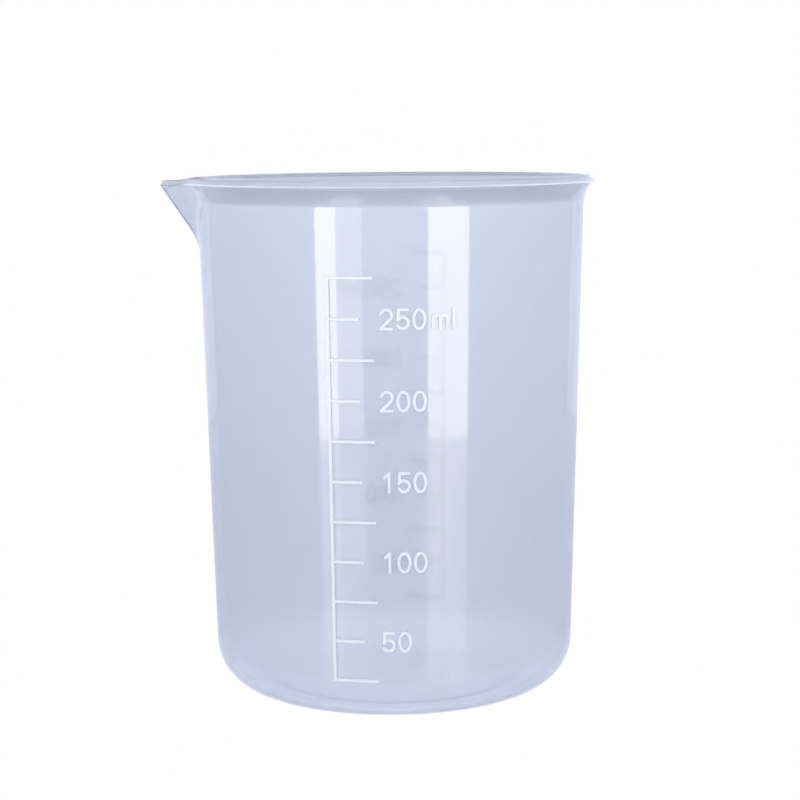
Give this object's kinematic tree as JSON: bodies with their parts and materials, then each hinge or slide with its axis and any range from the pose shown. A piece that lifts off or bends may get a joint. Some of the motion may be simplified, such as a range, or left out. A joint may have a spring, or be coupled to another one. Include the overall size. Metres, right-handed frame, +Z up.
{
  "type": "beaker",
  "caption": "Low-form laboratory beaker moulded in translucent polypropylene, with a flared lip, a V pouring spout and a raised millilitre scale on its front and rear.",
  "frame": {"origin": "centre of the flat foot, on the surface that the beaker stands on and on the axis of the round wall", "axes": "+Z up, out of the mouth; -X towards the pouring spout; -Y towards the front scale, which reads from that side"},
  "size_m": [0.0814, 0.0762, 0.0964],
  "materials": {
    "vessel": "glossy translucent natural polypropylene, faint cool tint",
    "scale": "the same polypropylene, raised and slightly frosted"
  },
  "bodies": {
    "root": {"vessel": "vessel", "front_scale_line": "scale", "front_mark_025": "scale", "front_mark_050": "scale", "front_mark_075": "scale", "front_mark_100": "scale", "front_mark_125": "scale", "front_mark_150": "scale", "front_mark_175": "scale", "front_mark_200": "scale", "front_mark_225": "scale", "front_mark_250": "scale", "front_mark_275": "scale", "front_number_050": "scale", "front_number_100": "scale", "front_number_150": "scale", "front_number_200": "scale", "front_number_250": "scale", "front_unit_ml": "scale", "rear_scale_line": "scale", "rear_mark_025": "scale", "rear_mark_050": "scale", "rear_mark_075": "scale", "rear_mark_100": "scale", "rear_mark_125": "scale", "rear_mark_150": "scale", "rear_mark_175": "scale", "rear_mark_200": "scale", "rear_mark_225": "scale", "rear_mark_250": "scale", "rear_mark_275": "scale", "rear_number_050": "scale", "rear_number_100": "scale", "rear_number_150": "scale", "rear_number_200": "scale", "rear_number_250": "scale", "rear_unit_ml": "scale"}
  },
  "joints": []
}
